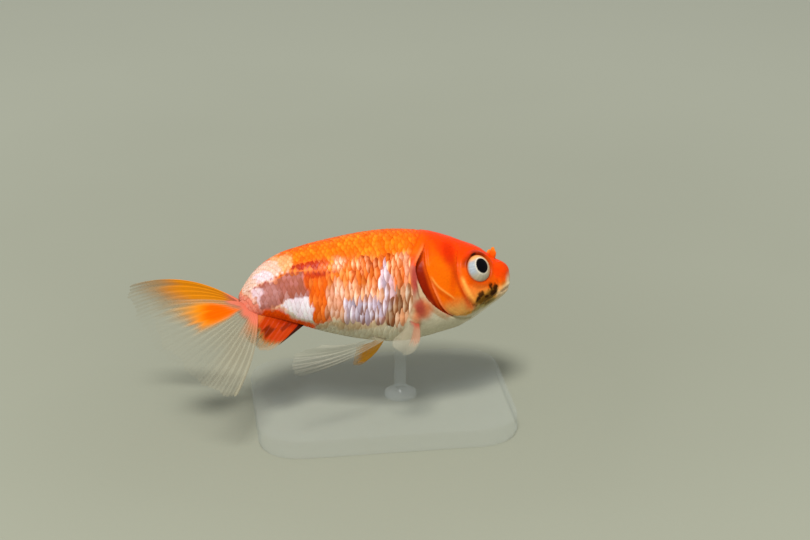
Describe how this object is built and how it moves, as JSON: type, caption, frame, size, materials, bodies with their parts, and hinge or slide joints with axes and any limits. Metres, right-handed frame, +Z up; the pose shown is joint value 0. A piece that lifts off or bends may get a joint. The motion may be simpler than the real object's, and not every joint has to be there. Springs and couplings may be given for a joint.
{
  "type": "goldfish",
  "caption": "Life-size still model of a young ranchu goldfish with a double tail, banked on a clear rod and a flat clear base.",
  "frame": {"origin": "centre of the stand base's underside", "axes": "+X towards the fish's snout, +Z up, the fish's right flank towards -Y"},
  "size_m": [0.0853, 0.042, 0.0433],
  "materials": {
    "orange_skin": "wet-looking skin, saturated orange",
    "pearl_skin": "orange, pink and pearl-white scaled skin",
    "fin_web": "thin translucent web with fine rays",
    "eye_silver": "silver iris and black pupil under a clear wet surface",
    "clear_acrylic": "clear, polished"
  },
  "bodies": {
    "root": {"head": "orange_skin", "lower_jaw": "pearl_skin", "gill_cover_right": "orange_skin", "gill_cover_left": "orange_skin", "eye_right": "eye_silver", "eye_left": "eye_silver", "nostril_flap_right": "orange_skin", "nostril_flap_left": "orange_skin", "trunk": "pearl_skin", "tail_stalk": "pearl_skin", "pectoral_fin_right": "fin_web", "pectoral_fin_left": "fin_web", "pelvic_fin_right": "fin_web", "pelvic_fin_left": "fin_web", "anal_fin_right": "fin_web", "anal_fin_left": "fin_web", "tail_fin_upper_right": "fin_web", "tail_fin_upper_left": "fin_web", "tail_fin_lower_right": "fin_web", "tail_fin_lower_left": "fin_web", "stand_base": "clear_acrylic", "stand_rod": "clear_acrylic"}
  },
  "joints": []
}
